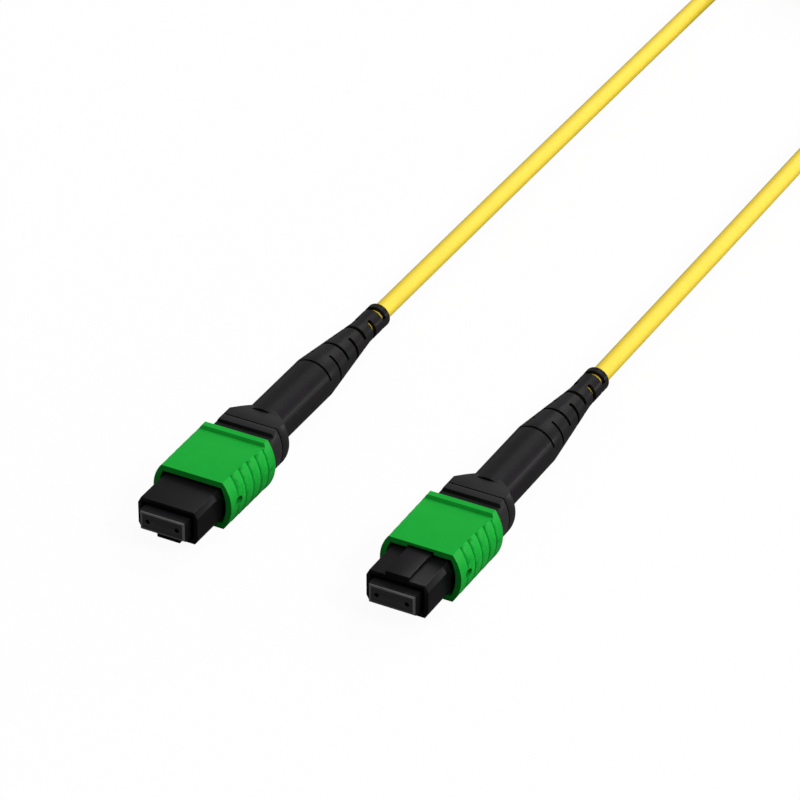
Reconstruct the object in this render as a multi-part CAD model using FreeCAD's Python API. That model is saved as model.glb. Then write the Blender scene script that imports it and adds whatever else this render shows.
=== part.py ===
import FreeCAD
import Part
import math
import os

# Patch lead with a multi-fibre push-on connector at each end.
# One connector is built about its own axis and placed twice, the second turned half over:
# X across, Y from the ferrule face back to the boot tip, Z up, origin on the axis at the face.
# All sizes are in millimetres.

# Rectangular ferrule
FERRULE_WIDTH = 7.1
FERRULE_HEIGHT = 3.1
FERRULE_LENGTH = 8.0
FERRULE_EDGE = 0.2
FLANGE_WIDTH = 7.7
FLANGE_HEIGHT = 3.55
FLANGE_LENGTH = 2.6
GUIDE_PITCH = 4.6
GUIDE_RADIUS = 0.35
EPOXY_WINDOW_WIDTH = 2.8
EPOXY_WINDOW_LENGTH = 1.4
EPOXY_WINDOW_DEPTH = 0.9
EPOXY_WINDOW_START = 2.9
FLOAT_TRAVEL = 0.8

# Fibres and the rubber sleeve that leads them into the ferrule
RIBBON_WIDTH = 3.05
RIBBON_THICKNESS = 0.32
BUNDLE_WIDTH = 1.3
BUNDLE_HEIGHT = 1.0
BUNDLE_START = 23.0
FAN_LENGTH = 4.0
FIBRE_CLEARANCE = 0.05
RUBBER_WIDTH = 3.5
RUBBER_HEIGHT = 1.4
RUBBER_GRIP = 2.2
RUBBER_TAIL = 1.3

# Plate behind the ferrule that keeps guide pins and carries the main spring
CLAMP_WIDTH = 6.9
CLAMP_HEIGHT = 3.3
CLAMP_LENGTH = 1.5
CLAMP_SEAT = 0.02
CLAMP_NOTCH = 0.86

# Main spring, wound to a rounded oblong
SPRING_WIDTH = 6.0
SPRING_HEIGHT = 3.1
SPRING_WIRE = 0.4
SPRING_TURNS = 4.5
SPRING_SEAT = 0.05
SPRING_BEND_SHARE = 3.0
FACETS_PER_TURN = 10
WIRE_CORNERS = 5

# Inner housing
HOUSING_FRONT = 1.55
HOUSING_LENGTH = 16.45
HOUSING_SIDE_WALL = 0.7
HOUSING_ROOF = 0.675
HOUSING_CHAMFER_X = 0.5
HOUSING_CHAMFER_Z = 0.95
WINDOW_CLEARANCE = 0.12
MOUTH_DEPTH = 1.0
CAVITY_CLEARANCE = 0.15
REAR_CAVITY_WIDTH = 6.7
KEY_WIDTH = 3.6
KEY_HEIGHT = 0.6
KEY_LENGTH = 11.6
LATCH_NOTCH_START = 8.7
LATCH_NOTCH_LENGTH = 1.7
LATCH_NOTCH_HEIGHT = 2.6
LATCH_NOTCH_WALL = 0.25

# Coupling sleeve
SLEEVE_FRONT = 8.15
SLEEVE_LENGTH = 12.25
SLEEVE_WIDTH = 12.4
SLEEVE_WALL = 0.88
SLEEVE_TOP_CLEARANCE = 0.32
SLEEVE_FLAT_FRONT = 9.7
SLEEVE_FLAT_REAR = 9.95
SLEEVE_FLAT_ALLOWANCE = 0.02
SLEEVE_TRAVEL = 2.0
KEYWAY_SIDE_CLEARANCE = 0.2
KEYWAY_TOP_CLEARANCE = 0.15
KEYWAY_END_CLEARANCE = 0.3
RIDGE_COUNT = 5
RIDGE_START = 2.05
RIDGE_PITCH = 2.06
RIDGE_DEPTH = 0.17
SEAM_WIDTH = 0.22
SEAM_DEPTH = 0.3
SCOOP_START = 1.4
SCOOP_DEPTH = 0.45
LIP_LENGTH = 0.95
LIP_SLOPE = 0.25
PEEP_SLOT_LENGTH = 1.75
PEEP_SLOT_HEIGHT = 1.2
PEEP_SLOT_CENTRE = 2.2
PEEP_SLOT_RISE = -0.05

# Pair of return springs between the sleeve's ribs and the rear body
RETURN_SPRING_DIAMETER = 1.24
RETURN_SPRING_WIRE = 0.2
RETURN_SPRING_TURNS = 6.5
CHANNEL_CLEARANCE = 0.12
CHANNEL_START = 11.5
RIB_LENGTH = 0.8
RIB_HEIGHT = 1.2
RIB_CLEARANCE = 0.05

# Rear body
REAR_SIDE_CLEARANCE = 0.15
REAR_HEIGHT = 6.34
REAR_BULGE = 0.9
REAR_RING_CLEARANCE = 0.4
REAR_RING_LENGTH = 1.35
NOSE_LENGTH = 2.5
NOSE_CLEARANCE = 0.05
HOOK_WIDTH = 2.4
HOOK_LENGTH = 0.9
HOOK_CLEARANCE = 0.08
HOOK_END_WALL = 0.8
HOOK_HEIGHT = 0.45
SPIGOT_INSET = 0.7
SPIGOT_LENGTH = 1.0
FAN_ROOM_WIDTH = 3.6
FAN_ROOM_HEIGHT = 1.5
CRIMP_TUBE_RADIUS = 1.75
CRIMP_TUBE_BORE = 1.25
CRIMP_TUBE_LENGTH = 8.75

# Strength yarn and the metal ring crimped over it
CRIMP_GAP = 0.02
YARN_THICKNESS = 0.2
YARN_FACETS = 12
CRIMP_RING_WALL = 0.5
CRIMP_RING_START = 1.6

# Rear collar
COLLAR_SEAM = 0.12
COLLAR_CLEARANCE = 0.05
COLLAR_STRAIGHT = 1.68
COLLAR_TAPER = 2.05
COLLAR_END_RADIUS = 3.7
COLLAR_ROOM = 0.1

# Strain-relief boot
BOOT_RECESS = 3.08
BOOT_FRONT_GAP = 0.16
BOOT_RADIUS = 3.42
BOOT_BARREL_LENGTH = 15.25
BOOT_TAPER_LENGTH = 13.7
BOOT_TIP_LENGTH = 5.75
BOOT_TIP_RADIUS = 1.91
BOOT_TIP_EDGE = 0.2
BOOT_SEAT = 0.02
SLOT_COUNT = 7
SLOT_LEAD = 0.95
SLOT_END_RING = 1.68
SLOT_WIDTH_FIRST = 0.4
SLOT_WIDTH_LAST = 0.95
SIDE_WEB_ANGLE = 34.0
TOP_WEB_ANGLE = 48.0

# Round cable, and where its two ends lie
CABLE_RADIUS = 1.37
CABLE_FIT = 0.02
LEAD_SPACING = 35.7
FAR_SETBACK = 0.42
STRAIGHT_RUN = 141.95
COIL_RADIUS = 14.5
COIL_TURNS = 6.5
COIL_LAYER_WIDTH = 11.9
COIL_LAYER_HEIGHT = 5.6
COIL_EDGE = 0.8

# Strap that ties the coil
TIE_WIDTH = 4.0
TIE_THICKNESS = 0.5
TIE_FIT = 0.02

# Places worked out from the sizes above
HOUSING_END = HOUSING_FRONT + HOUSING_LENGTH
FLANGE_START = FERRULE_LENGTH - FLANGE_LENGTH
CLAMP_START = FERRULE_LENGTH + CLAMP_SEAT
CLAMP_END = CLAMP_START + CLAMP_LENGTH
FRONT_CAVITY_WIDTH = FLANGE_WIDTH + 2 * CAVITY_CLEARANCE
CAVITY_HEIGHT = FLANGE_HEIGHT + 2 * CAVITY_CLEARANCE
HOUSING_WIDTH = FRONT_CAVITY_WIDTH + 2 * HOUSING_SIDE_WALL
HOUSING_HEIGHT = CAVITY_HEIGHT + 2 * HOUSING_ROOF
NOSE_START = HOUSING_END - NOSE_LENGTH
SLEEVE_END = SLEEVE_FRONT + SLEEVE_LENGTH
SLEEVE_BORE_HEIGHT = HOUSING_HEIGHT + 2 * SLEEVE_TOP_CLEARANCE
SLEEVE_HEIGHT = SLEEVE_BORE_HEIGHT + 2 * SLEEVE_WALL
SLEEVE_BORE_WIDTH = SLEEVE_WIDTH - 2 * SLEEVE_WALL
SLEEVE_BORE_FLAT = SLEEVE_FLAT_FRONT - 0.5 * SLEEVE_WALL
RETURN_SPRING_X = 0.5 * (SLEEVE_BORE_WIDTH - RETURN_SPRING_DIAMETER) - RIB_CLEARANCE
CHANNEL_FLOOR = RETURN_SPRING_X - 0.5 * RETURN_SPRING_DIAMETER - CHANNEL_CLEARANCE
CHANNEL_HEIGHT = RETURN_SPRING_DIAMETER + 2 * CHANNEL_CLEARANCE
RIB_START = CHANNEL_START + RIB_CLEARANCE
REAR_WIDTH = SLEEVE_BORE_WIDTH - 2 * REAR_SIDE_CLEARANCE
REAR_FLAT = REAR_WIDTH - 2 * REAR_BULGE
RING_START = SLEEVE_END + SLEEVE_TRAVEL + REAR_RING_CLEARANCE
RING_END = RING_START + REAR_RING_LENGTH
CRIMP_TUBE_END = RING_END + CRIMP_TUBE_LENGTH
YARN_INNER = CRIMP_TUBE_RADIUS + CRIMP_GAP
YARN_OUTER = YARN_INNER + YARN_THICKNESS
CRIMP_INNER = YARN_OUTER / math.cos(math.pi / YARN_FACETS) + CRIMP_GAP
CRIMP_OUTER = CRIMP_INNER + CRIMP_RING_WALL
CRIMP_START = RING_END + CRIMP_RING_START
COLLAR_START = RING_END + COLLAR_SEAM
CABLE_START = CRIMP_TUBE_END + 2 * CRIMP_GAP
BOOT_FRONT = COLLAR_START + BOOT_RECESS
BOOT_BARREL_END = BOOT_FRONT + BOOT_BARREL_LENGTH
BOOT_TAPER_END = BOOT_BARREL_END + BOOT_TAPER_LENGTH
BOOT_END = BOOT_TAPER_END + BOOT_TIP_LENGTH
BOOT_BORE = CABLE_RADIUS + CABLE_FIT
BOOT_POCKET = CRIMP_OUTER + BOOT_SEAT
BOOT_POCKET_END = CABLE_START + 2 * CRIMP_GAP
SLOT_START = BOOT_BARREL_END - SLOT_LEAD
SLOT_PITCH = (BOOT_END - SLOT_END_RING - SLOT_START) / (SLOT_COUNT - 1)
SLOT_WIDTH_STEP = (SLOT_WIDTH_LAST - SLOT_WIDTH_FIRST) / (SLOT_COUNT - 1)
COIL_X = -0.5 * LEAD_SPACING
COIL_CENTRE = BOOT_END + STRAIGHT_RUN
COIL_FLOOR = TIE_THICKNESS + TIE_FIT

# The near connector rests on its sleeve, centred over the origin
AXIS_HEIGHT = 0.5 * SLEEVE_HEIGHT
NEAR_SHIFT = FreeCAD.Vector(0, -0.5 * BOOT_END, AXIS_HEIGHT)
FAR_SHIFT = FreeCAD.Vector(-LEAD_SPACING, FAR_SETBACK - 0.5 * BOOT_END, AXIS_HEIGHT)

ALONG = FreeCAD.Vector(0, 1, 0)


def block(width, height, start, end, x=0.0, z=0.0):
    """Box centred on (x, z) that runs from start to end along the connector."""
    corner = FreeCAD.Vector(x - 0.5 * width, start, z - 0.5 * height)
    return Part.makeBox(width, end - start, height, corner)


def rod(radius, start, end):
    """Cylinder on the connector's axis."""
    return Part.makeCylinder(radius, end - start, FreeCAD.Vector(0, start, 0), ALONG)


def tube(outer, inner, start, end):
    return rod(outer, start, end).cut(rod(inner, start, end))


def closed_wire(points):
    return Part.makePolygon(points + [points[0]])


def prism(inner_radius, sides, start, end):
    """Regular prism on the connector's axis, sized by the circle that fits inside it."""
    radius = inner_radius / math.cos(math.pi / sides)
    corners = []
    for corner in range(sides):
        turn = 2 * math.pi * corner / sides
        corners.append(FreeCAD.Vector(radius * math.cos(turn), start, radius * math.sin(turn)))
    return extrude(closed_wire(corners), end - start)


def barrel_wire(width, height, flat, y):
    """Oblong with flat top and bottom and two bowed sides."""
    w = 0.5 * width
    h = 0.5 * height
    f = 0.5 * flat
    top_left = FreeCAD.Vector(-f, y, h)
    top_right = FreeCAD.Vector(f, y, h)
    low_right = FreeCAD.Vector(f, y, -h)
    low_left = FreeCAD.Vector(-f, y, -h)
    edges = [
        Part.LineSegment(top_left, top_right).toShape(),
        Part.Arc(top_right, FreeCAD.Vector(w, y, 0), low_right).toShape(),
        Part.LineSegment(low_right, low_left).toShape(),
        Part.Arc(low_left, FreeCAD.Vector(-w, y, 0), top_left).toShape(),
    ]
    return Part.Wire(edges)


def loft(wires):
    return Part.makeLoft(wires, True, True)


def extrude(wire, length):
    return Part.Face(wire).extrude(ALONG * length)


def coil_spring(width, height, wire, turns, start, end, centre_x=0.0):
    """Compression spring of faceted wire, wound round an oblong or a circle."""
    bend = 0.5 * (height - wire)
    half_straight = 0.5 * (width - height)
    steps = int(round(turns * FACETS_PER_TURN))
    first = start + 0.5 * wire
    rise = (end - start - wire) / steps
    sections = []
    for step in range(steps + 1):
        angle = 2 * math.pi * step / FACETS_PER_TURN
        out = FreeCAD.Vector(math.cos(angle), 0, math.sin(angle))
        side = half_straight * max(-1.0, min(1.0, SPRING_BEND_SHARE * math.cos(angle)))
        middle = out * bend + FreeCAD.Vector(centre_x + side, first + rise * step, 0)
        ring = []
        for corner in range(WIRE_CORNERS):
            turn = 2 * math.pi * corner / WIRE_CORNERS
            ring.append(middle + (out * math.cos(turn) + ALONG * math.sin(turn)) * (0.5 * wire))
        sections.append(closed_wire(ring))
    return loft(sections)


def make_ferrule():
    """Moulded ferrule: ground front, wider rear flange, two guide holes, a window for glue."""
    body = block(FERRULE_WIDTH, FERRULE_HEIGHT, 0, FLANGE_START)
    rim = [edge for edge in body.Edges if edge.BoundBox.YMax < 0.5 * FERRULE_EDGE]
    body = body.makeChamfer(FERRULE_EDGE, rim)
    body = body.fuse(block(FLANGE_WIDTH, FLANGE_HEIGHT, FLANGE_START, FERRULE_LENGTH))
    holes = []
    for side in (-1, 1):
        mouth = FreeCAD.Vector(0.5 * side * GUIDE_PITCH, 0, 0)
        holes.append(Part.makeCylinder(GUIDE_RADIUS, FERRULE_LENGTH, mouth, ALONG))
    grip_start = FERRULE_LENGTH - RUBBER_GRIP
    socket_width = RUBBER_WIDTH + 2 * FIBRE_CLEARANCE
    socket_height = RUBBER_HEIGHT + 2 * FIBRE_CLEARANCE
    socket = block(socket_width, socket_height, grip_start, FERRULE_LENGTH)
    window_end = EPOXY_WINDOW_START + EPOXY_WINDOW_LENGTH
    window_z = 0.5 * (FERRULE_HEIGHT - EPOXY_WINDOW_DEPTH)
    window = block(
        EPOXY_WINDOW_WIDTH, EPOXY_WINDOW_DEPTH, EPOXY_WINDOW_START, window_end, 0, window_z
    )
    return body.cut(holes + [socket, window]).removeSplitter()


def make_rubber_sleeve():
    start = FERRULE_LENGTH - RUBBER_GRIP
    end = CLAMP_END + RUBBER_TAIL
    body = block(RUBBER_WIDTH, RUBBER_HEIGHT, start, end)
    passage_width = RIBBON_WIDTH + 2 * FIBRE_CLEARANCE
    passage = block(passage_width, RIBBON_THICKNESS + 2 * FIBRE_CLEARANCE, start, end)
    return body.cut(passage)


def make_fibres():
    """Flat ribbon that gathers into a loose bundle before it enters the jacket."""
    start = FERRULE_LENGTH - RUBBER_GRIP + FIBRE_CLEARANCE
    fan_start = BUNDLE_START - FAN_LENGTH
    flat = block(RIBBON_WIDTH, RIBBON_THICKNESS, start, fan_start)
    w = 0.5 * RIBBON_WIDTH
    h = 0.5 * RIBBON_THICKNESS
    end_w = 0.5 * BUNDLE_WIDTH
    end_h = 0.5 * BUNDLE_HEIGHT
    fan = Part.makeWedge(-w, fan_start, -h, -end_h, -end_w, w, BUNDLE_START, h, end_h, end_w)
    bundle = block(BUNDLE_WIDTH, BUNDLE_HEIGHT, BUNDLE_START, CABLE_START)
    return flat.fuse([fan, bundle]).removeSplitter()


def make_pin_clamp():
    """Plate behind the ferrule, notched from both ends for two pin tails."""
    body = block(CLAMP_WIDTH, CLAMP_HEIGHT, CLAMP_START, CLAMP_END)
    window_width = RUBBER_WIDTH + 2 * FIBRE_CLEARANCE
    window_height = RUBBER_HEIGHT + 2 * FIBRE_CLEARANCE
    cuts = [block(window_width, window_height, CLAMP_START, CLAMP_END)]
    for side in (-1, 1):
        notch_x = 0.5 * side * (GUIDE_PITCH - CLAMP_NOTCH + CLAMP_WIDTH)
        cuts.append(block(CLAMP_WIDTH, CLAMP_NOTCH, CLAMP_START, CLAMP_END, notch_x))
    return body.cut(cuts)


def make_main_spring():
    start = CLAMP_END + SPRING_SEAT
    end = NOSE_START - SPRING_SEAT
    return coil_spring(SPRING_WIDTH, SPRING_HEIGHT, SPRING_WIRE, SPRING_TURNS, start, end)


def latch_hooks(grow):
    """Two ramps, above and below the nose, that snap into the housing's windows."""
    end = HOUSING_END - HOOK_END_WALL + grow
    start = end - HOOK_LENGTH - 2 * grow
    low = 0.5 * CAVITY_HEIGHT - NOSE_CLEARANCE
    height = HOOK_HEIGHT + 2 * grow
    width = HOOK_WIDTH + 2 * grow
    above = block(width, height, start, end, 0, low + 0.5 * HOOK_HEIGHT)
    below = block(width, height, start, end, 0, -low - 0.5 * HOOK_HEIGHT)
    return [above, below]


def make_inner_housing():
    """Chamfered box with the key on top, open mouth, and a step that stops the flange."""
    w = 0.5 * HOUSING_WIDTH
    h = 0.5 * HOUSING_HEIGHT
    cx = HOUSING_CHAMFER_X
    cz = HOUSING_CHAMFER_Z
    outline = [
        (w, h - cz), (w - cx, h), (cx - w, h), (-w, h - cz),
        (-w, cz - h), (cx - w, -h), (w - cx, -h), (w, cz - h),
    ]
    wire = closed_wire([FreeCAD.Vector(x, HOUSING_FRONT, z) for x, z in outline])
    body = extrude(wire, HOUSING_LENGTH)
    key_end = HOUSING_FRONT + KEY_LENGTH
    body = body.fuse(block(KEY_WIDTH, 2 * KEY_HEIGHT, HOUSING_FRONT, key_end, 0, h))
    window_width = FERRULE_WIDTH + 2 * WINDOW_CLEARANCE
    window_height = FERRULE_HEIGHT + 2 * WINDOW_CLEARANCE
    channel_depth = HOUSING_WIDTH
    channel_x = CHANNEL_FLOOR + 0.5 * channel_depth
    notch_x = 0.5 * FRONT_CAVITY_WIDTH + LATCH_NOTCH_WALL + 0.5 * channel_depth
    notch_end = LATCH_NOTCH_START + LATCH_NOTCH_LENGTH
    cuts = [
        block(FRONT_CAVITY_WIDTH, CAVITY_HEIGHT, HOUSING_FRONT, HOUSING_FRONT + MOUTH_DEPTH),
        block(window_width, window_height, HOUSING_FRONT, FLANGE_START),
        block(FRONT_CAVITY_WIDTH, CAVITY_HEIGHT, FLANGE_START, CHANNEL_START - RIB_CLEARANCE),
        block(REAR_CAVITY_WIDTH, CAVITY_HEIGHT, FLANGE_START, HOUSING_END),
    ]
    for side in (-1, 1):
        cuts.append(
            block(channel_depth, CHANNEL_HEIGHT, CHANNEL_START, HOUSING_END, side * channel_x)
        )
        cuts.append(
            block(channel_depth, LATCH_NOTCH_HEIGHT, LATCH_NOTCH_START, notch_end, side * notch_x)
        )
    return body.cut(cuts + latch_hooks(HOOK_CLEARANCE)).removeSplitter()


def sleeve_section(y, inset):
    """Outer section of the coupling sleeve, with its bowed sides drawn in by inset."""
    share = (y - SLEEVE_FRONT) / SLEEVE_LENGTH
    flat = SLEEVE_FLAT_FRONT + share * (SLEEVE_FLAT_REAR - SLEEVE_FLAT_FRONT)
    height = SLEEVE_HEIGHT + 2 * SLEEVE_FLAT_ALLOWANCE
    return barrel_wire(SLEEVE_WIDTH - 2 * inset, height, flat, y)


def sleeve_scoops():
    """Shallow finger scoops in the top and bottom flats, ending at the raised rear lip."""
    h = 0.5 * SLEEVE_HEIGHT
    start = SLEEVE_FRONT + SCOOP_START
    lip = SLEEVE_END - LIP_LENGTH
    foot = lip - LIP_SLOPE
    reach = foot - start
    radius = 0.5 * (reach ** 2 + SCOOP_DEPTH ** 2) / SCOOP_DEPTH
    half_drop = radius - math.sqrt(radius ** 2 - 0.25 * reach ** 2)
    left = -SLEEVE_WIDTH
    scoops = []
    for side in (-1, 1):
        begin = FreeCAD.Vector(left, start, side * h)
        middle = FreeCAD.Vector(left, start + 0.5 * reach, side * (h - half_drop))
        deepest = FreeCAD.Vector(left, foot, side * (h - SCOOP_DEPTH))
        crest = FreeCAD.Vector(left, lip, side * h)
        above_crest = FreeCAD.Vector(left, lip, side * (h + SCOOP_DEPTH))
        above_start = FreeCAD.Vector(left, start, side * (h + SCOOP_DEPTH))
        edges = [
            Part.Arc(begin, middle, deepest).toShape(),
            Part.LineSegment(deepest, crest).toShape(),
            Part.LineSegment(crest, above_crest).toShape(),
            Part.LineSegment(above_crest, above_start).toShape(),
            Part.LineSegment(above_start, begin).toShape(),
        ]
        face = Part.Face(Part.Wire(edges))
        scoops.append(face.extrude(FreeCAD.Vector(2 * SLEEVE_WIDTH, 0, 0)))
    return scoops


def peep_slot():
    """Round-ended slot straight through both sides."""
    middle = SLEEVE_FRONT + PEEP_SLOT_CENTRE
    reach = 0.5 * (PEEP_SLOT_LENGTH - PEEP_SLOT_HEIGHT)
    parts = [
        block(2 * SLEEVE_WIDTH, PEEP_SLOT_HEIGHT, middle - reach, middle + reach, 0, PEEP_SLOT_RISE)
    ]
    for y in (middle - reach, middle + reach):
        start = FreeCAD.Vector(-SLEEVE_WIDTH, y, PEEP_SLOT_RISE)
        across = FreeCAD.Vector(1, 0, 0)
        parts.append(Part.makeCylinder(0.5 * PEEP_SLOT_HEIGHT, 2 * SLEEVE_WIDTH, start, across))
    return parts[0].fuse(parts[1:])


def make_coupling_sleeve():
    """Pull-back sleeve: ridged bowed sides, scooped flats, keyway and two inner ribs."""
    sections = [sleeve_section(SLEEVE_FRONT, 0)]
    for ridge in range(RIDGE_COUNT):
        seam = SLEEVE_FRONT + RIDGE_START + ridge * RIDGE_PITCH
        sections.append(sleeve_section(seam, 0))
        sections.append(sleeve_section(seam + 0.5 * SEAM_WIDTH, RIDGE_DEPTH + SEAM_DEPTH))
        sections.append(sleeve_section(seam + SEAM_WIDTH, RIDGE_DEPTH))
    sections.append(sleeve_section(SLEEVE_END, 0))
    between_flats = block(2 * SLEEVE_WIDTH, SLEEVE_HEIGHT, SLEEVE_FRONT, SLEEVE_END)
    body = loft(sections).common(between_flats)
    bore = extrude(
        barrel_wire(SLEEVE_BORE_WIDTH, SLEEVE_BORE_HEIGHT, SLEEVE_BORE_FLAT, SLEEVE_FRONT),
        SLEEVE_LENGTH,
    )
    keyway_width = KEY_WIDTH + 2 * KEYWAY_SIDE_CLEARANCE
    keyway_top = 0.5 * HOUSING_HEIGHT + KEY_HEIGHT + KEYWAY_TOP_CLEARANCE
    keyway_end = HOUSING_FRONT + KEY_LENGTH + KEYWAY_END_CLEARANCE
    keyway = block(keyway_width, keyway_top, SLEEVE_FRONT, keyway_end, 0, 0.5 * keyway_top)
    body = body.cut([bore, keyway, peep_slot()] + sleeve_scoops())
    rib_inner = CHANNEL_FLOOR + RIB_CLEARANCE
    rib_width = 0.5 * SLEEVE_BORE_WIDTH + 0.5 * SLEEVE_WALL - rib_inner
    rib_x = rib_inner + 0.5 * rib_width
    rib_end = RIB_START + RIB_LENGTH
    ribs = [block(rib_width, RIB_HEIGHT, RIB_START, rib_end, side * rib_x) for side in (-1, 1)]
    return body.fuse(ribs).removeSplitter()


def make_return_spring(side):
    start = RIB_START + RIB_LENGTH + RIB_CLEARANCE
    end = HOUSING_END - RIB_CLEARANCE
    size = RETURN_SPRING_DIAMETER
    centre = side * RETURN_SPRING_X
    return coil_spring(
        size, size, RETURN_SPRING_WIRE, RETURN_SPRING_TURNS, start, end, centre
    )


def inset_outline(inset, y):
    """Outline shared by the rear body and its collar, smaller by inset across and in height."""
    return barrel_wire(REAR_WIDTH - inset, REAR_HEIGHT - inset, REAR_FLAT - inset, y)


def make_rear_body():
    """Nose that holds the main spring, waisted shoulder, ring, and the tube for crimping."""
    body = extrude(inset_outline(0, HOUSING_END), RING_END - HOUSING_END)
    spare = 0.5 * (REAR_HEIGHT - HOUSING_HEIGHT)
    offset = 0.5 * (HOUSING_HEIGHT + spare)
    waist = [
        block(2 * REAR_WIDTH, spare, HOUSING_END, RING_START, 0, side * offset)
        for side in (-1, 1)
    ]
    body = body.cut(waist)
    nose_width = REAR_CAVITY_WIDTH - 2 * NOSE_CLEARANCE
    nose_height = CAVITY_HEIGHT - 2 * NOSE_CLEARANCE
    nose = block(nose_width, nose_height, NOSE_START, HOUSING_END)
    spigot = extrude(inset_outline(SPIGOT_INSET, RING_END), COLLAR_SEAM + SPIGOT_LENGTH)
    stem = rod(CRIMP_TUBE_RADIUS, RING_END, CRIMP_TUBE_END)
    body = body.fuse([nose, spigot, stem] + latch_hooks(0))
    room = block(FAN_ROOM_WIDTH, FAN_ROOM_HEIGHT, NOSE_START, BUNDLE_START)
    bore = rod(CRIMP_TUBE_BORE, BUNDLE_START - FAN_LENGTH, CRIMP_TUBE_END)
    return body.cut([room, bore]).removeSplitter()


def make_yarn():
    """Strength yarn laid back over the tube in flat bunches."""
    outside = prism(YARN_OUTER, YARN_FACETS, CRIMP_START, CRIMP_TUBE_END)
    return outside.cut(prism(YARN_INNER, YARN_FACETS, CRIMP_START, CRIMP_TUBE_END))


def make_crimp_ring():
    return tube(CRIMP_OUTER, CRIMP_INNER, CRIMP_START, CRIMP_TUBE_END)


def make_rear_collar():
    """Collar that covers the crimp and narrows in a cone from the oblong body to the boot."""
    straight_end = COLLAR_START + COLLAR_STRAIGHT
    taper_end = straight_end + COLLAR_TAPER
    straight = extrude(inset_outline(0, COLLAR_START), COLLAR_STRAIGHT)
    tapered = extrude(inset_outline(0, straight_end), COLLAR_TAPER)
    corner_radius = 0.5 * math.hypot(REAR_FLAT, REAR_HEIGHT)
    foot = FreeCAD.Vector(0, straight_end, 0)
    cone = Part.makeCone(corner_radius, COLLAR_END_RADIUS, COLLAR_TAPER, foot, ALONG)
    body = straight.fuse(tapered.common(cone))
    inset = SPIGOT_INSET - 2 * COLLAR_CLEARANCE
    recess = extrude(inset_outline(inset, COLLAR_START), SPIGOT_LENGTH + COLLAR_CLEARANCE)
    socket_start = BOOT_FRONT - BOOT_FRONT_GAP
    crimp_room = rod(CRIMP_OUTER + COLLAR_ROOM, COLLAR_START, socket_start)
    socket = rod(BOOT_RADIUS + BOOT_SEAT, socket_start, taper_end)
    return body.cut([recess, crimp_room, socket]).removeSplitter()


def slot_wedge(start, width, middle_angle, web_angle):
    """Pie-shaped cutter that leaves webs of web_angle on both sides of a slot."""
    sweep = 180.0 - web_angle
    cutter = Part.makeCylinder(
        2 * BOOT_RADIUS, width, FreeCAD.Vector(0, start, 0), ALONG, sweep
    )
    mid = cutter.CenterOfMass
    now = math.degrees(math.atan2(mid.x, mid.z))
    cutter.rotate(FreeCAD.Vector(0, start, 0), ALONG, middle_angle - now)
    return cutter


def make_boot():
    """Rubber boot: barrel, taper and slim tip, with slots that alternate by a quarter turn."""
    profile = [
        (BOOT_POCKET, BOOT_FRONT),
        (BOOT_RADIUS, BOOT_FRONT),
        (BOOT_RADIUS, BOOT_BARREL_END),
        (BOOT_TIP_RADIUS, BOOT_TAPER_END),
        (BOOT_TIP_RADIUS, BOOT_END - BOOT_TIP_EDGE),
        (BOOT_TIP_RADIUS - BOOT_TIP_EDGE, BOOT_END),
        (BOOT_BORE, BOOT_END),
        (BOOT_BORE, BOOT_POCKET_END),
        (BOOT_POCKET, BOOT_POCKET_END),
    ]
    outline = closed_wire([FreeCAD.Vector(r, y, 0) for r, y in profile])
    body = Part.Face(outline).revolve(FreeCAD.Vector(0, 0, 0), ALONG, 360)
    cutters = []
    for number in range(SLOT_COUNT):
        width = SLOT_WIDTH_FIRST + number * SLOT_WIDTH_STEP
        start = SLOT_START + number * SLOT_PITCH - 0.5 * width
        upright = number % 2 == 0
        web = SIDE_WEB_ANGLE if upright else TOP_WEB_ANGLE
        first = 0.0 if upright else 90.0
        cutters.append(slot_wedge(start, width, first, web))
        cutters.append(slot_wedge(start, width, first + 180.0, web))
    return body.cut(cutters)


def make_cable_end():
    return rod(CABLE_RADIUS, CABLE_START, BOOT_END)


def coil_ring(grow):
    """Ring with the outer shape of the wound cable, larger all round by grow."""
    inner = COIL_RADIUS - 0.5 * COIL_LAYER_WIDTH - grow
    outer = COIL_RADIUS + 0.5 * COIL_LAYER_WIDTH + grow
    height = COIL_LAYER_HEIGHT + 2 * grow
    up = FreeCAD.Vector(0, 0, 1)
    centre = FreeCAD.Vector(COIL_X, COIL_CENTRE + NEAR_SHIFT.y, COIL_FLOOR - grow)
    ring = Part.makeCylinder(outer, height, centre, up)
    ring = ring.cut(Part.makeCylinder(inner, height, centre, up))
    rims = [edge for edge in ring.Edges if edge.BoundBox.ZLength < 0.5 * height]
    return ring.makeChamfer(COIL_EDGE, rims)


def make_coil_tie():
    """Strap round the wound cable, on the side away from the connectors."""
    strap = coil_ring(TIE_FIT + TIE_THICKNESS).cut(coil_ring(TIE_FIT))
    corner = FreeCAD.Vector(COIL_X - 0.5 * TIE_WIDTH, COIL_CENTRE + NEAR_SHIFT.y, 0)
    slice_box = Part.makeBox(TIE_WIDTH, LEAD_SPACING, LEAD_SPACING, corner)
    return strap.common(slice_box)


def make_run(shift, coil):
    """Straight run of cable from a boot's tip to the side of the coil."""
    start = FreeCAD.Vector(shift.x, shift.y + BOOT_END, shift.z)
    run = Part.makeCylinder(CABLE_RADIUS, COIL_CENTRE - BOOT_END, start, ALONG)
    pieces = run.cut(coil).Solids
    return min(pieces, key=lambda piece: piece.BoundBox.YMin)


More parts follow.
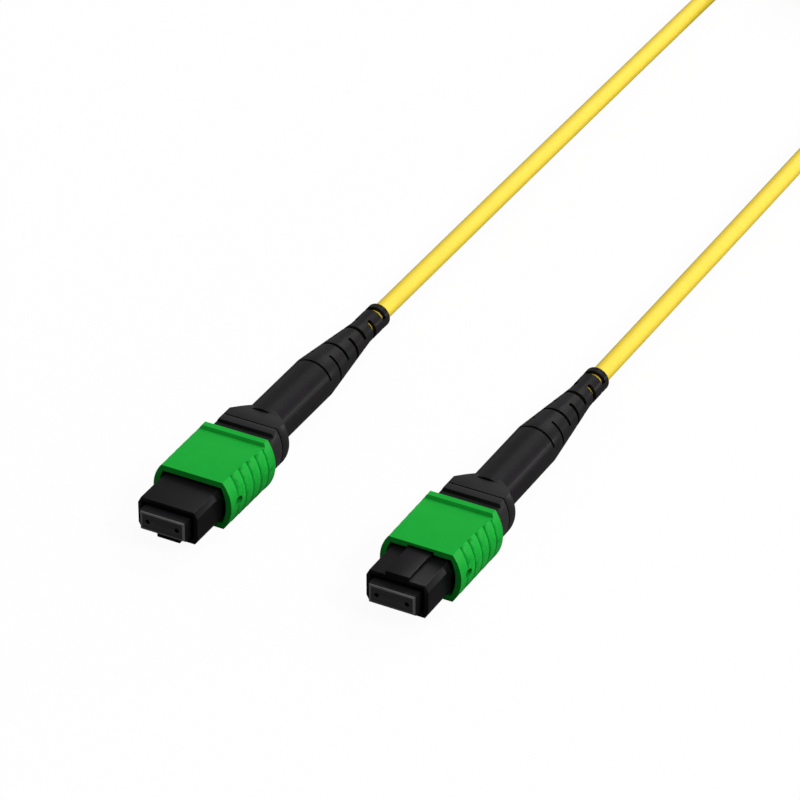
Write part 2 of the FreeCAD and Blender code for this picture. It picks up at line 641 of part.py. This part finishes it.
def make_connector():
    return {
        "ferrule": make_ferrule(),
        "ferrule_rubber": make_rubber_sleeve(),
        "fibre_ribbon": make_fibres(),
        "pin_clamp": make_pin_clamp(),
        "main_spring": make_main_spring(),
        "inner_housing": make_inner_housing(),
        "rear_body": make_rear_body(),
        "coupling_sleeve": make_coupling_sleeve(),
        "left_return_spring": make_return_spring(-1),
        "right_return_spring": make_return_spring(1),
        "strength_yarn": make_yarn(),
        "crimp_ring": make_crimp_ring(),
        "rear_collar": make_rear_collar(),
        "boot": make_boot(),
        "cable_end": make_cable_end(),
    }


os.makedirs("parts", exist_ok=True)
coil = coil_ring(0)
solids = {
    "cord_coil": coil,
    "coil_tie": make_coil_tie(),
    "cord_near": make_run(NEAR_SHIFT, coil),
    "cord_far": make_run(FAR_SHIFT, coil),
}
for name, shape in make_connector().items():
    near = shape.copy()
    near.translate(NEAR_SHIFT)
    solids[name] = near
    far = shape.copy()
    far.rotate(FreeCAD.Vector(0, 0, 0), ALONG, 180)
    far.translate(FAR_SHIFT)
    solids["far_" + name] = far
for name, shape in solids.items():
    shape.exportStep("parts/" + name + ".step")
cord_length = 2 * STRAIGHT_RUN - FAR_SETBACK + COIL_TURNS * 2 * math.pi * COIL_RADIUS
print("cable length between the boots", round(cord_length, 1))
print("lead, ferrule to ferrule", round(cord_length + 2 * BOOT_END, 1))
for name in ("cord_near", "cord_far"):
    run = solids[name]
    section = math.pi * CABLE_RADIUS ** 2
    print(name, "length", round(run.BoundBox.YLength, 2), "volume over section",
          round(run.Volume / section, 2))
for name, shape in solids.items():
    if len(shape.Solids) != 1 or not shape.isValid():
        print("check", name, len(shape.Solids), shape.isValid())
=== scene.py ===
import bmesh
import bpy
import math
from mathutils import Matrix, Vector


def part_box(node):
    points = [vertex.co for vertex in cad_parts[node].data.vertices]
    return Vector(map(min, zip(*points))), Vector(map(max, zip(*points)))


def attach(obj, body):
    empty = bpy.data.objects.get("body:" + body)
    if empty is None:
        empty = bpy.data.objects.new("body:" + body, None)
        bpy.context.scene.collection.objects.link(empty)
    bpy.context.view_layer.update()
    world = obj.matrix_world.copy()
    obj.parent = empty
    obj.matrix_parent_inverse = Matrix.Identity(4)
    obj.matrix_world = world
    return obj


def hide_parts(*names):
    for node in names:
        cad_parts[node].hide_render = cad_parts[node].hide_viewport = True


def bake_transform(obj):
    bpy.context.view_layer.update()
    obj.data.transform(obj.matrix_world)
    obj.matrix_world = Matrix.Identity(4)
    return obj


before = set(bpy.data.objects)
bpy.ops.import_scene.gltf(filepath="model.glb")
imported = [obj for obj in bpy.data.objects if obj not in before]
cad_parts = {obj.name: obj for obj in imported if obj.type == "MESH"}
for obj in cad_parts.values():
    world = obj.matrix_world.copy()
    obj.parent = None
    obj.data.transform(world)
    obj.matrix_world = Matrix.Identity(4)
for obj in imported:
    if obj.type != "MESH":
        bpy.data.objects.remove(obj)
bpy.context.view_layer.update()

# Camera: a long lens that looks down on the two connectors from the front right, with the
# near one below the middle of the frame and both cables leaving at the top right.
camera_azimuth = math.radians(28.21)
camera_elevation = math.radians(32.89)
camera_data = bpy.data.cameras.new("camera")
camera_data.lens = 210.26
camera_data.sensor_width = 36.0
camera_data.clip_start = 0.01
camera_data.clip_end = 10.0
camera = bpy.data.objects.new("camera", camera_data)
bpy.context.scene.collection.objects.link(camera)
toward_camera = Vector((
    math.sin(camera_azimuth) * math.cos(camera_elevation),
    -math.cos(camera_azimuth) * math.cos(camera_elevation),
    math.sin(camera_elevation),
))
camera.location = (0.240762, -0.477499, 0.363477)
camera.rotation_mode = "QUATERNION"
camera.rotation_quaternion = (-toward_camera).to_track_quat("-Z", "Y")
bpy.context.scene.camera = camera

# Cable between the two boots: round cable with a thin extruded yellow jacket, 2.74 mm thick. It
# runs straight out of each boot, and the length in between is wound into a flat coil of two
# layers, inwards on top and outwards along the table, held by a strap.
cable_diameter = 0.00274
axis_height = 0.0038
far_axis = -0.0357
near_exit = (0.0, 0.031025, axis_height)
far_crimp = (far_axis, 0.002355, axis_height)
coil_centre = (0.5 * far_axis, 0.172975)
coil_outer_turn = 0.01908
coil_step = 0.002818
coil_turns = 6.5
low_layer = 0.0019
high_layer = 0.00474
points_per_turn = 16

cable_points = [
    near_exit,
    (0.0, 0.037, axis_height),
    (0.0, 0.085, 0.0037),
    (0.0, 0.132, axis_height),
    (0.0006, 0.154, 0.0045),
]
corner_stretch = 1.0 / math.cos(math.pi / points_per_turn)
steps = int(coil_turns * points_per_turn)
for step in range(steps + 1):
    turns = step / points_per_turn
    from_middle = turns - 0.5 * coil_turns
    radius = coil_outer_turn - coil_step * (0.5 * coil_turns - abs(from_middle))
    climb = min(1.0, max(0.0, 0.5 + 2.0 * from_middle))
    height = high_layer + (low_layer - high_layer) * climb
    angle = 2.0 * math.pi * turns
    cable_points.append((
        coil_centre[0] + radius * corner_stretch * math.cos(angle),
        coil_centre[1] + radius * corner_stretch * math.sin(angle),
        height,
    ))
cable_points += [
    (-0.0364, 0.155, 0.0022),
    (far_axis, 0.138, 0.0034),
    (far_axis, 0.09, 0.0037),
    (far_axis, 0.045, axis_height),
    (far_axis, 0.0315, axis_height),
    far_crimp,
]

cable_curve = bpy.data.curves.new("patch_cable", "CURVE")
cable_curve.dimensions = "3D"
cable_curve.bevel_depth = 1.0
cable_curve.bevel_resolution = 7
cable_curve.resolution_u = 6
cable_curve.use_fill_caps = True
cable_line = cable_curve.splines.new("NURBS")
cable_line.points.add(len(cable_points) - 1)
for spline_point, place in zip(cable_line.points, cable_points):
    spline_point.co = (*place, 1.0)
    spline_point.radius = 0.5 * cable_diameter
cable_line.order_u = 3
cable_line.use_endpoint_u = True
cable_line.use_smooth = True
patch_cable = bpy.data.objects.new("patch_cable", cable_curve)
bpy.context.scene.collection.objects.link(patch_cable)
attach(patch_cable, "lead")
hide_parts("cord_near", "cord_coil", "cord_far", "far_cable_end")


def link(tree, source, output, target, socket):
    """Joins one node's output to another's input."""
    tree.links.new(source.outputs[output], target.inputs[socket])


def moulded(name, color, deep_color, roughness, cell, bump, specular):
    """Plastic or rubber from a mould: slightly uneven colour, painted shade that darkens narrow
    hollows, and a fine spark-eroded grain. The grain's cell is a length, and the clouds of colour
    are far larger."""
    material = bpy.data.materials.new(name)
    material.use_nodes = True
    tree = material.node_tree
    shader = tree.nodes["Principled BSDF"]
    shader.inputs["Specular IOR Level"].default_value = specular
    place = tree.nodes.new("ShaderNodeTexCoord")
    clouds = tree.nodes.new("ShaderNodeTexNoise")
    clouds.inputs["Scale"].default_value = 0.06 / cell
    clouds.inputs["Detail"].default_value = 3.0
    tint = tree.nodes.new("ShaderNodeValToRGB")
    tint.color_ramp.elements[0].position = 0.3
    tint.color_ramp.elements[1].position = 0.7
    tint.color_ramp.elements[0].color = (*deep_color, 1.0)
    tint.color_ramp.elements[1].color = (*color, 1.0)
    grain = tree.nodes.new("ShaderNodeTexNoise")
    grain.inputs["Scale"].default_value = 1.0 / cell
    grain.inputs["Detail"].default_value = 4.0
    gloss = tree.nodes.new("ShaderNodeMapRange")
    gloss.inputs["To Min"].default_value = roughness - 0.06
    gloss.inputs["To Max"].default_value = roughness + 0.06
    relief = tree.nodes.new("ShaderNodeBump")
    relief.inputs["Strength"].default_value = bump
    relief.inputs["Distance"].default_value = 0.2 * cell
    link(tree, place, "Object", clouds, "Vector")
    link(tree, place, "Object", grain, "Vector")
    link(tree, clouds, "Fac", tint, "Fac")
    # Painted shade: an ambient occlusion node darkens the colour in narrow hollows, where shade
    # falls.
    painted_crevice_shade = tree.nodes.new("ShaderNodeAmbientOcclusion")
    painted_crevice_shade.inputs["Distance"].default_value = 0.0005
    depth = tree.nodes.new("ShaderNodeMapRange")
    depth.inputs["From Min"].default_value = 0.35
    depth.inputs["From Max"].default_value = 0.85
    depth.inputs["To Min"].default_value = 0.1
    shade = tree.nodes.new("ShaderNodeVectorMath")
    shade.operation = "SCALE"
    link(tree, painted_crevice_shade, "AO", depth, "Value")
    link(tree, tint, "Color", shade, 0)
    link(tree, depth, "Result", shade, "Scale")
    link(tree, shade, "Vector", shader, "Base Color")
    link(tree, grain, "Fac", gloss, "Value")
    link(tree, gloss, "Result", shader, "Roughness")
    link(tree, grain, "Fac", relief, "Height")
    link(tree, relief, "Normal", shader, "Normal")
    return material


def clothe(node, material):
    """Gives a carried-over node its finish."""
    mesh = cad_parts[node].data
    mesh.materials.clear()
    mesh.materials.append(material)


yellow_jacket = moulded(
    "yellow_jacket", (0.87, 0.65, 0.036), (0.835, 0.62, 0.032), 0.6, 0.00012, 0.1, 0.3
)
cable_curve.materials.append(yellow_jacket)
clothe("cable_end", yellow_jacket)

# Strain-relief boots: soft black moulded rubber, pushed on over the crimp. Slots that alternate
# by a quarter turn let the thin end bend, and show the yellow jacket where they are widest.
same_corner = 0.000002
flat_face = 0.3


def finished(node, name, body, material, edge, smooth_angle):
    """Moulded copy of a node with joined faces and softened edges, which stands for the node. An
    edge radius of 0 leaves its edges sharp above the smooth angle."""
    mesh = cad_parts[node].data.copy()
    mesh.name = name
    shape = bmesh.new()
    shape.from_mesh(mesh)
    bmesh.ops.remove_doubles(shape, verts=shape.verts, dist=same_corner)
    bmesh.ops.dissolve_limit(
        shape, angle_limit=math.radians(flat_face), verts=shape.verts, edges=shape.edges
    )
    for face in shape.faces:
        face.smooth = True
    shape.to_mesh(mesh)
    shape.free()
    mesh.materials.clear()
    mesh.materials.append(material)
    piece = bpy.data.objects.new(name, mesh)
    bpy.context.scene.collection.objects.link(piece)
    if edge:
        rounding = piece.modifiers.new("moulded_edges", "BEVEL")
        rounding.width = edge
        rounding.segments = 2
        rounding.limit_method = "ANGLE"
        rounding.angle_limit = math.radians(smooth_angle)
        rounding.harden_normals = True
        rounding.use_clamp_overlap = True
    else:
        mesh.set_sharp_from_angle(angle=math.radians(smooth_angle))
    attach(piece, body)
    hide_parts(node)
    return piece


boot_rubber = moulded(
    "boot_rubber", (0.0165, 0.0152, 0.0165), (0.0145, 0.0134, 0.0145), 0.33, 0.00012, 0.08, 0.012
)
for prefix in ("", "far_"):
    boot = finished(prefix + "boot", prefix + "strain_relief_boot", "lead", boot_rubber, 0, 25)
    clothe(prefix + "ferrule_rubber", boot_rubber)

# Rear body and rear collar: two black moulded parts with a thin joint between them. The body
# clips into the housing, and the collar hides the crimp and tapers down to the boot.
moulded_edge = 0.00003
moulded_angle = 30
collar_joint = 0.00008
collar_room = 0.003
same_plane = 0.00001
black_plastic = moulded(
    "black_plastic", (0.0205, 0.0202, 0.0205), (0.0185, 0.0182, 0.0185), 0.36, 0.00015, 0.1, 0.03
)
for prefix in ("", "far_"):
    rear = finished(
        prefix + "rear_body", prefix + "rear_shell", "lead",
        black_plastic, moulded_edge, moulded_angle,
    )
    collar = finished(
        prefix + "rear_collar", prefix + "collar_shell", "lead",
        black_plastic, moulded_edge, moulded_angle,
    )
    corners = collar.data.vertices
    front = min(c.co.y for c in corners if abs(c.co.z - axis_height) > collar_room)
    for corner in corners:
        if abs(corner.co.y - front) < same_plane:
            corner.co.y += collar_joint

# Inner housing: deep black moulded box with the key on top, which keeps the ferrule and the main
# spring. Its edges are rounded a little more, so the chamfers beside its top keep a crisp line.
housing_edge = 0.00007
housing_angle = 20
housing_plastic = moulded(
    "housing_plastic", (0.0042, 0.004, 0.0042), (0.0036, 0.0034, 0.0036), 0.4, 0.00015, 0.1, 0.07
)
for prefix in ("", "far_"):
    housing = finished(
        prefix + "inner_housing", prefix + "plug_housing", "lead",
        housing_plastic, housing_edge, housing_angle,
    )

# Coupling sleeve: green moulded plastic, which is pulled back to release the connector from an
# adapter. Its bowed sides carry finger ridges, made here to stand proud at their front edge, so
# that a finger catches on them, and to run down to the seam of the next one.
green_plastic = moulded(
    "green_plastic", (0.0115, 0.385, 0.039), (0.0095, 0.365, 0.036), 0.42, 0.00018, 0.06, 0.02
)
ridge_start = 0.00205
ridge_pitch = 0.00206
ridge_count = 5
ridge_face_share = 0.4
cad_seam = 0.00022
cad_step = 0.00017
cad_groove = 0.0003
narrow_seam = 0.00007
ridge_step = 0.00004
ridge_groove = 0.00014
flat_front = 0.00485
flat_rear = 0.004975
flat_allowance = 0.00002
on_side = 0.00003
sleeve_angle = 28


def side_reach(width, flat, height, z):
    """Half width of a bowed side at height z, from those at mid height and at the flat."""
    centre = (width ** 2 - flat ** 2 - height ** 2) / (2.0 * (width - flat))
    return centre + math.sqrt((width - centre) ** 2 - z ** 2)


def between(y, knots):
    """Value at y on straight lines drawn from knot to knot."""
    for (y0, v0), (y1, v1) in zip(knots, knots[1:]):
        if y <= y1:
            return v0 + (v1 - v0) * (y - y0) / (y1 - y0)
    return knots[-1][1]


def ridge_sides(mesh, low, high):
    """Turns the ridges of the carried-over sleeve so that each rises at its front edge. Three lines
    along the sleeve say how deep its sides lie now, how deep they shall lie, and what moves to
    where where the seams get narrower."""
    length = high[1] - low[1]
    centre_x = 0.5 * (low[0] + high[0])
    centre_z = 0.5 * (low[2] + high[2])
    width = 0.5 * (high[0] - low[0])
    height = 0.5 * (high[2] - low[2]) + flat_allowance
    cad_depths = [(0.0, 0.0)]
    depths = [(0.0, 0.0)]
    places = [(0.0, 0.0)]
    for ridge in range(ridge_count):
        seam = ridge_start + ridge * ridge_pitch
        floor = seam + 0.5 * cad_seam
        end = seam + cad_seam
        face = seam + ridge_face_share * ridge_pitch
        cad_depths += [(seam, 0.0), (floor, cad_step + cad_groove), (end, cad_step)]
        depths += [(seam, ridge_step), (floor, ridge_step + ridge_groove), (end, 0.0)]
        places += [
            (seam, seam),
            (floor, seam + 0.5 * narrow_seam),
            (end, seam + narrow_seam),
            (face, face),
        ]
    cad_depths.append((length, 0.0))
    depths.append((length, 0.0))
    places.append((length, length))
    for corner in mesh.vertices:
        y = corner.co.y - low[1]
        z = corner.co.z - centre_z
        side = corner.co.x - centre_x
        flat = flat_front + (flat_rear - flat_front) * y / length
        if abs(z) >= height:
            continue
        cad_reach = side_reach(width - between(y, cad_depths), flat, height, z)
        if abs(abs(side) - cad_reach) < on_side:
            depth = between(y, depths)
            reach = side_reach(width - depth, flat - depth, height, z)
            corner.co.x = centre_x + math.copysign(reach, side)
            corner.co.y = low[1] + between(y, places)


for prefix in ("", "far_"):
    sleeve = finished(
        prefix + "coupling_sleeve", prefix + "pull_sleeve", prefix + "sleeve",
        green_plastic, 0, sleeve_angle,
    )
    ridge_sides(sleeve.data, *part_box(prefix + "coupling_sleeve"))

# Ferrule: hard glass-filled resin, moulded dark. Its end face is ground and polished to a lighter
# grey, and the edges of that face are broken to a narrow chamfer, coloured pale as a painted
# highlight.
end_rim = 0.0003
chamfer_width = 0.0002
ground_face = 1
edge_highlight_face = 2
ferrule_resin = moulded(
    "ferrule_resin", (0.009, 0.009, 0.01), (0.007, 0.007, 0.008), 0.4, 0.00006, 0.1, 0.07
)
ground_resin = moulded(
    "ground_resin", (0.018, 0.018, 0.02), (0.015, 0.015, 0.017), 0.36, 0.00006, 0.05, 0.5
)
# Painted highlight: a pale grey on the chamfer round the end face stands in for light catching
# those edges.
painted_edge_highlight = moulded(
    "painted_edge_highlight", (0.16, 0.16, 0.165), (0.13, 0.13, 0.135), 0.4, 0.00006, 0.05, 0.5
)
for prefix in ("", "far_"):
    ferrule = finished(
        prefix + "ferrule", prefix + "ground_ferrule", prefix + "floating_ferrule",
        ferrule_resin, moulded_edge, moulded_angle,
    )
    ferrule.data.materials.append(ground_resin)
    ferrule.data.materials.append(painted_edge_highlight)
    shape = bmesh.new()
    shape.from_mesh(ferrule.data)
    front = min(corner.co.y for corner in shape.verts)
    end_corners = [corner for corner in shape.verts if corner.co.y < front + same_plane]
    for face in shape.faces:
        if all(corner in end_corners for corner in face.verts):
            face.material_index = ground_face
    left, right = min(c.co.x for c in end_corners), max(c.co.x for c in end_corners)
    bottom, top = min(c.co.z for c in end_corners), max(c.co.z for c in end_corners)
    rim = []
    for edge in shape.edges:
        if all(corner in end_corners for corner in edge.verts):
            middle = 0.5 * (edge.verts[0].co + edge.verts[1].co)
            inset = min(middle.x - left, right - middle.x, middle.z - bottom, top - middle.z)
            if inset < end_rim:
                rim.append(edge)
    # The bevelled rim of the end face takes the pale painted-highlight material.
    bmesh.ops.bevel(
        shape, geom=rim, offset=chamfer_width, segments=2, profile=0.5, affect="EDGES",
        material=edge_highlight_face,
    )
    shape.to_mesh(ferrule.data)
    shape.free()

# Pin clamp and crimp ring: a plate stamped from spring steel behind the ferrule, and a turned brass
# ring that is crimped over the yarn. Both show fine lines along the axis.


def metal(name, color, roughness, grain_scale):
    """Bare metal, a little rougher and smoother in fine lines along the connector's axis."""
    material = bpy.data.materials.new(name)
    material.use_nodes = True
    tree = material.node_tree
    shader = tree.nodes["Principled BSDF"]
    shader.inputs["Metallic"].default_value = 1.0
    shader.inputs["Base Color"].default_value = (*color, 1.0)
    place = tree.nodes.new("ShaderNodeTexCoord")
    stretch = tree.nodes.new("ShaderNodeMapping")
    stretch.inputs["Scale"].default_value = (1.0, 0.1, 1.0)
    lines = tree.nodes.new("ShaderNodeTexNoise")
    lines.inputs["Scale"].default_value = grain_scale
    gloss = tree.nodes.new("ShaderNodeMapRange")
    gloss.inputs["To Min"].default_value = roughness - 0.08
    gloss.inputs["To Max"].default_value = roughness + 0.12
    link(tree, place, "Object", stretch, "Vector")
    link(tree, stretch, "Vector", lines, "Vector")
    link(tree, lines, "Fac", gloss, "Value")
    link(tree, gloss, "Result", shader, "Roughness")
    return material


spring_steel = metal("spring_steel", (0.56, 0.57, 0.58), 0.3, 20000.0)
crimp_metal = metal("crimp_metal", (0.66, 0.56, 0.34), 0.35, 12000.0)
for prefix in ("", "far_"):
    clothe(prefix + "pin_clamp", spring_steel)
    clothe(prefix + "crimp_ring", crimp_metal)

# Compression springs: an oblong main one and two round return ones, coiled from steel wire. Each
# is pressed together between its moving front seat, on the pin clamp or the sleeve's rib, and its
# fixed back seat on the rear body.


def sprung(node, name, material):
    """Copy of a node with its own finish, fixed in place, which stands for the node."""
    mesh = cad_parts[node].data.copy()
    mesh.name = name
    mesh.materials.clear()
    mesh.materials.append(material)
    piece = bpy.data.objects.new(name, mesh)
    bpy.context.scene.collection.objects.link(piece)
    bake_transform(piece)
    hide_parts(node)


for prefix in ("", "far_"):
    sprung(prefix + "main_spring", prefix + "main_coil_spring",
           spring_steel)
    for side in ("left", "right"):
        sprung(prefix + side + "_return_spring", prefix + side + "_coil_spring",
               spring_steel)

# Fibre ribbon and strength yarn: coated glass fibres side by side, glued into the ferrule, so that
# they give when it floats back, and strands of aramid laid over the crimp tube.


def strands(name, dark, light, direction, scale):
    """Threads side by side across one direction, with a darker line between them."""
    material = bpy.data.materials.new(name)
    material.use_nodes = True
    tree = material.node_tree
    shader = tree.nodes["Principled BSDF"]
    shader.inputs["Roughness"].default_value = 0.45
    place = tree.nodes.new("ShaderNodeTexCoord")
    lines = tree.nodes.new("ShaderNodeTexWave")
    lines.bands_direction = direction
    lines.inputs["Scale"].default_value = scale
    lines.inputs["Distortion"].default_value = 0.4
    tint = tree.nodes.new("ShaderNodeValToRGB")
    tint.color_ramp.elements[0].color = (*dark, 1.0)
    tint.color_ramp.elements[1].color = (*light, 1.0)
    link(tree, place, "Object", lines, "Vector")
    link(tree, lines, "Fac", tint, "Fac")
    link(tree, tint, "Color", shader, "Base Color")
    return material


coated_fibre = strands("coated_fibre", (0.25, 0.4, 0.55), (0.7, 0.78, 0.82), "X", 640.0)
aramid_yarn = strands("aramid_yarn", (0.5, 0.36, 0.08), (0.8, 0.65, 0.25), "X", 900.0)
for prefix in ("", "far_"):
    sprung(prefix + "fibre_ribbon", prefix + "ribbon_fibres",
           coated_fibre)
    clothe(prefix + "strength_yarn", aramid_yarn)

# Tie: a short black hook-and-loop strap, wound once round the coil's turns to hold the spare
# cable together.
tie_fabric = moulded(
    "tie_fabric", (0.035, 0.035, 0.037), (0.012, 0.012, 0.013), 0.8, 0.0002, 0.9, 0.2
)
clothe("coil_tie", tie_fabric)

# Setting: white table top and surroundings, soft lamps behind and on the right, and a narrow low
# one between them. The black sides mirror only a little of the table, and all of the surroundings.
table_bounce = 0.1
table_paint = 0.95
table_glow = 0.95
table_mirrored = 0.06
world_light = 0.3


def seen_or_mirrored(tree, mirror_share):
    """1 for what the eye or glass sees, a given share for a mirror, 0 for the light it gives."""
    path = tree.nodes.new("ShaderNodeLightPath")
    mirrored = tree.nodes.new("ShaderNodeMath")
    mirrored.operation = "MULTIPLY"
    mirrored.inputs[1].default_value = mirror_share
    either = tree.nodes.new("ShaderNodeMath")
    either.operation = "MAXIMUM"
    any_of = tree.nodes.new("ShaderNodeMath")
    any_of.operation = "MAXIMUM"
    link(tree, path, "Is Glossy Ray", mirrored, 0)
    link(tree, path, "Is Camera Ray", either, 0)
    link(tree, mirrored, "Value", either, 1)
    link(tree, either, "Value", any_of, 0)
    link(tree, path, "Is Transmission Ray", any_of, 1)
    return any_of


table_mesh = bpy.data.meshes.new("table_top")
table_shape = bmesh.new()
bmesh.ops.create_grid(table_shape, x_segments=1, y_segments=1, size=3.0)
table_shape.to_mesh(table_mesh)
table_shape.free()
table = bpy.data.objects.new("table_top", table_mesh)
bpy.context.scene.collection.objects.link(table)
table_white = bpy.data.materials.new("table_white")
table_white.use_nodes = True
tree = table_white.node_tree
surface = tree.nodes["Principled BSDF"]
surface.inputs["Roughness"].default_value = 0.9
surface.inputs["Specular IOR Level"].default_value = 0.0
glow = tree.nodes.new("ShaderNodeEmission")
glow.inputs["Strength"].default_value = 1.0
blend = tree.nodes.new("ShaderNodeMixShader")
share = tree.nodes.new("ShaderNodeMath")
share.operation = "MULTIPLY"
share.inputs[1].default_value = table_glow
paint = tree.nodes.new("ShaderNodeMapRange")
paint.inputs["To Min"].default_value = table_bounce
paint.inputs["To Max"].default_value = table_paint
seen = seen_or_mirrored(tree, table_mirrored)
link(tree, seen, "Value", paint, "Value")
link(tree, paint, "Result", surface, "Base Color")
link(tree, seen, "Value", share, 0)
link(tree, share, "Value", blend, 0)
link(tree, surface, "BSDF", blend, 1)
link(tree, glow, "Emission", blend, 2)
link(tree, blend, "Shader", tree.nodes["Material Output"], "Surface")
table_mesh.materials.append(table_white)

world = bpy.data.worlds.new("surroundings")
bpy.context.scene.world = world
world.use_nodes = True
tree = world.node_tree
background = tree.nodes["Background"]
level = tree.nodes.new("ShaderNodeMapRange")
level.inputs["To Min"].default_value = world_light
level.inputs["To Max"].default_value = 1.0
link(tree, seen_or_mirrored(tree, 1.0), "Value", level, "Value")
link(tree, level, "Result", background, "Strength")
background.inputs["Color"].default_value = (1.0, 1.0, 1.0, 1.0)


def soft_lamp(name, place, width, power):
    """Square lamp that faces the two connectors."""
    lamp = bpy.data.lights.new(name, "AREA")
    lamp.shape = "SQUARE"
    lamp.size = width
    lamp.energy = power
    holder = bpy.data.objects.new(name, lamp)
    holder.location = place
    holder.rotation_mode = "QUATERNION"
    holder.rotation_quaternion = (lamp_target - Vector(place)).to_track_quat("-Z", "Y")
    bpy.context.scene.collection.objects.link(holder)


lamp_target = Vector((-0.01, 0.02, 0.0))
soft_lamp("back_lamp", (0.3, 2.52, 1.59), 1.5, 50.0)
soft_lamp("right_lamp", (2.2, 0.3, 2.0), 0.9, 53.0)
soft_lamp("side_lamp", (2.0, 2.23, 0.24), 0.3, 27.0)
bpy.context.scene.view_settings.view_transform = "Standard"
